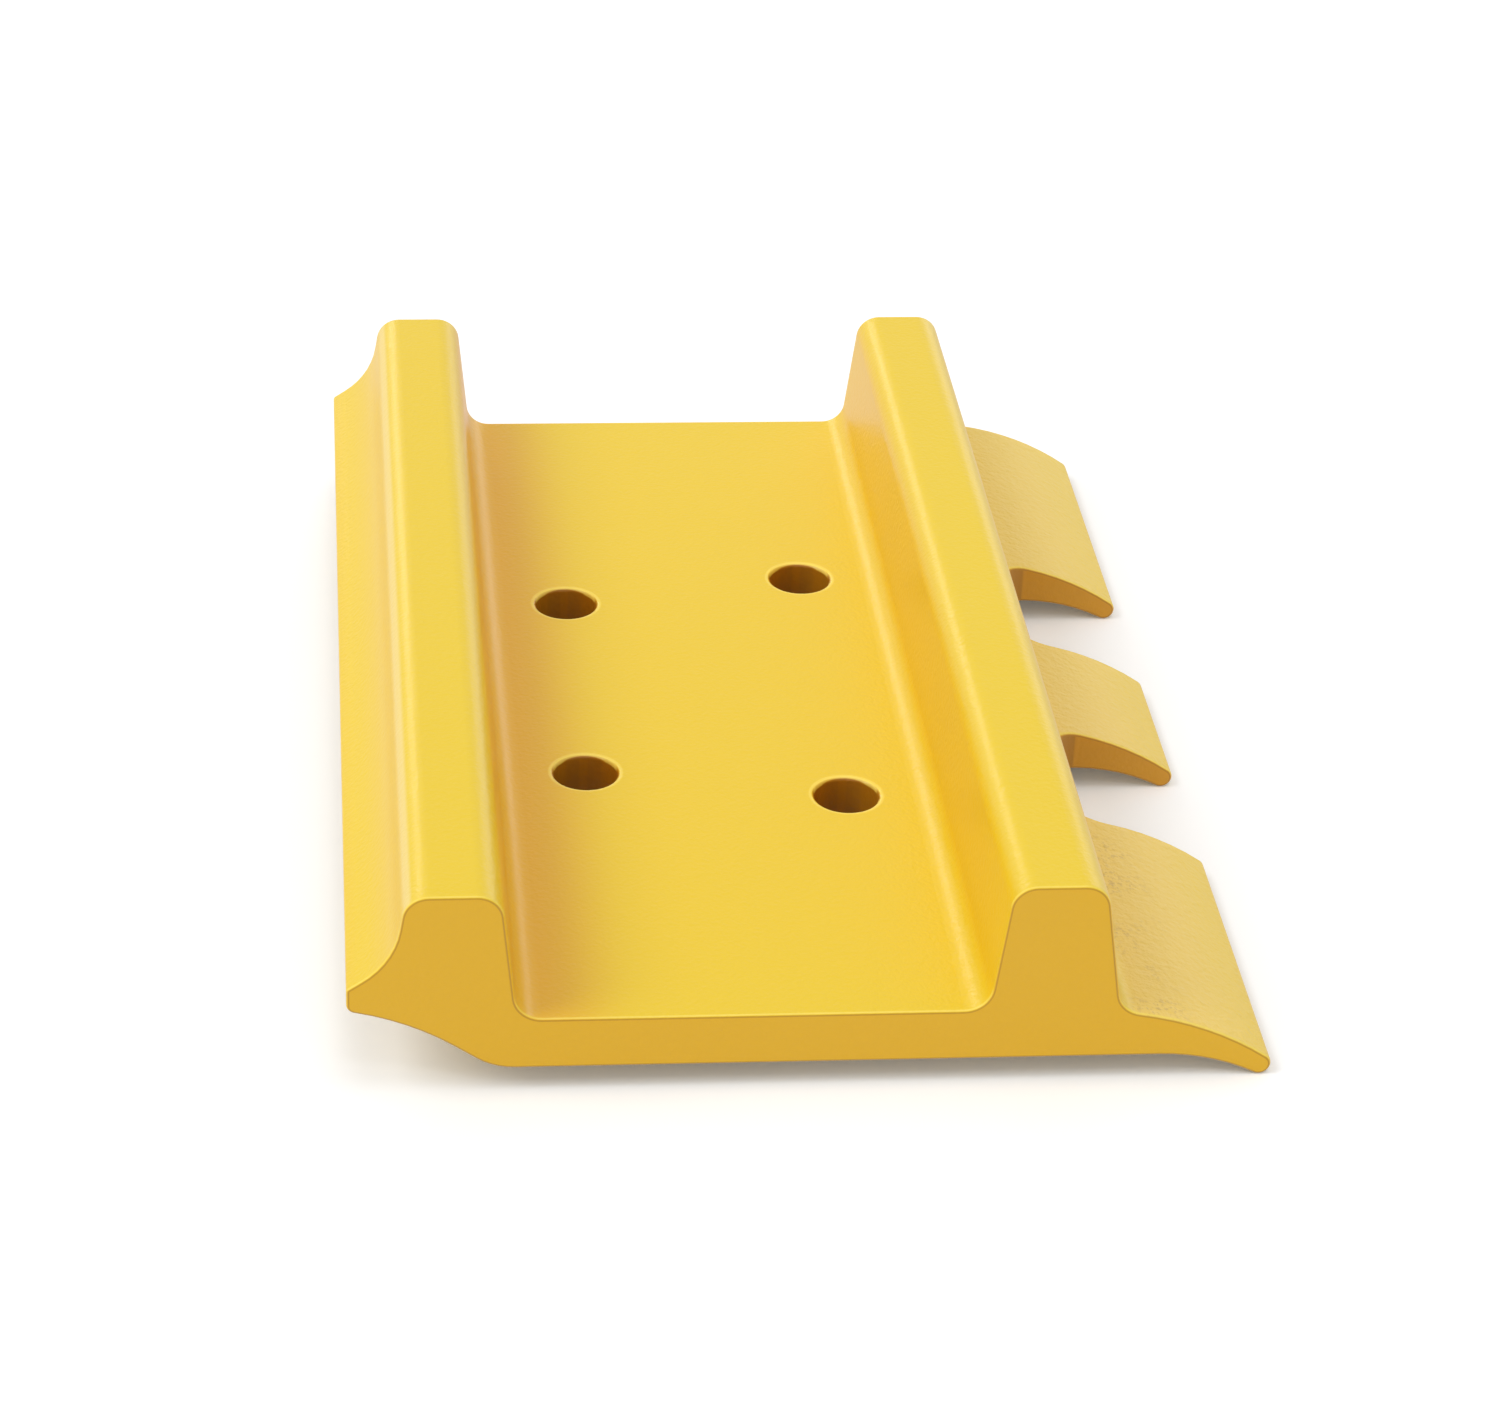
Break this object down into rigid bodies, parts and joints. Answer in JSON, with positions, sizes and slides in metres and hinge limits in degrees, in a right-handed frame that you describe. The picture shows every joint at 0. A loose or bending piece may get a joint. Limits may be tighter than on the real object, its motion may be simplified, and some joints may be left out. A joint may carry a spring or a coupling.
{
  "type": "excavator track shoe",
  "caption": "Rolled steel track shoe: a thick plate between tall grouser bars, with a raised nose, a curved trailing lip notched for the links, and bolt bores.",
  "frame": {"origin": "centre of the bolt pattern, on the flat underside where the track links seat", "axes": "+Z from the seat face towards the grouser tops, +X towards the notched trailing lip, Y along the rolled section, which is the track's width"},
  "size_m": [0.341, 0.482, 0.0838],
  "materials": {
    "paint": "satin yellow enamel with a fine orange-peel grain over rolled steel"
  },
  "bodies": {
    "root": {"track_shoe": "paint"}
  },
  "joints": []
}
